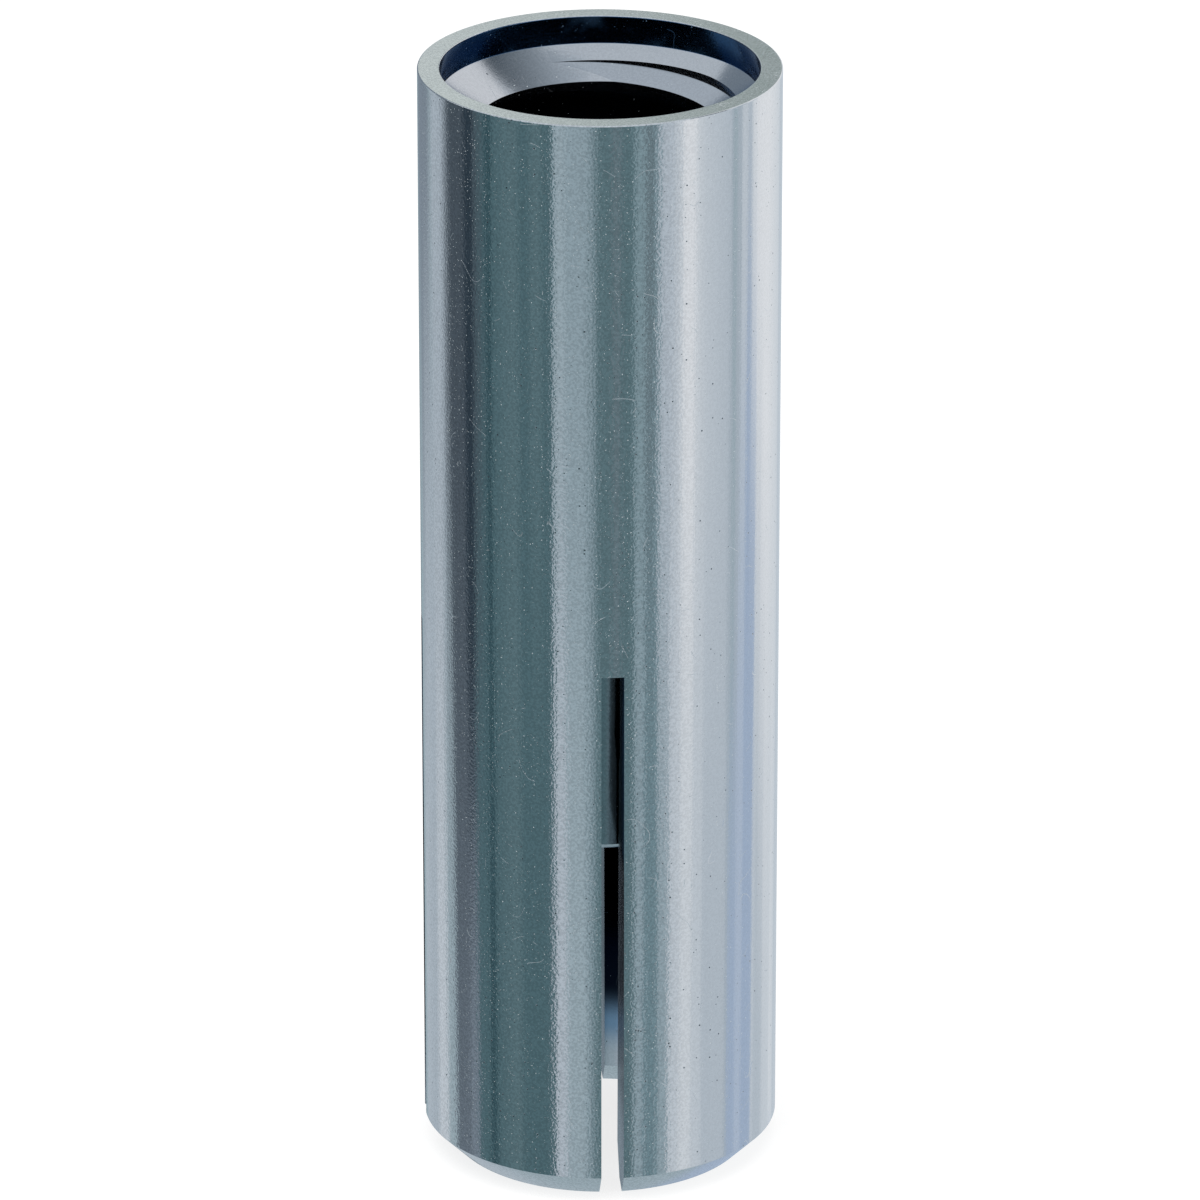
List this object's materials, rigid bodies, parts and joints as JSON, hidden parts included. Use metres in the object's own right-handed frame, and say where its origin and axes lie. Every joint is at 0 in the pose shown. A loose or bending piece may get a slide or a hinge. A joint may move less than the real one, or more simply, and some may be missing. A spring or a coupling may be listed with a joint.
{
  "type": "drop-in anchor",
  "caption": "Internally threaded steel sleeve anchor with a slotted lower half and a captive expander plug in its tapered bore.",
  "frame": {"origin": "centre of the slotted foot, on the anchor's axis, in the plane that it stands on", "axes": "+Z along the anchor's axis towards the threaded mouth; the slots lie on the X and Y axes"},
  "size_m": [0.0158, 0.0158, 0.0508],
  "materials": {
    "zinc_plate": "bright zinc plate over turned steel, slightly blue, with fine pits and specks",
    "plug_steel": "plain turned steel, a little darker than the sleeve"
  },
  "bodies": {
    "root": {"anchor_sleeve": "zinc_plate", "expander_plug": "plug_steel"}
  },
  "joints": []
}
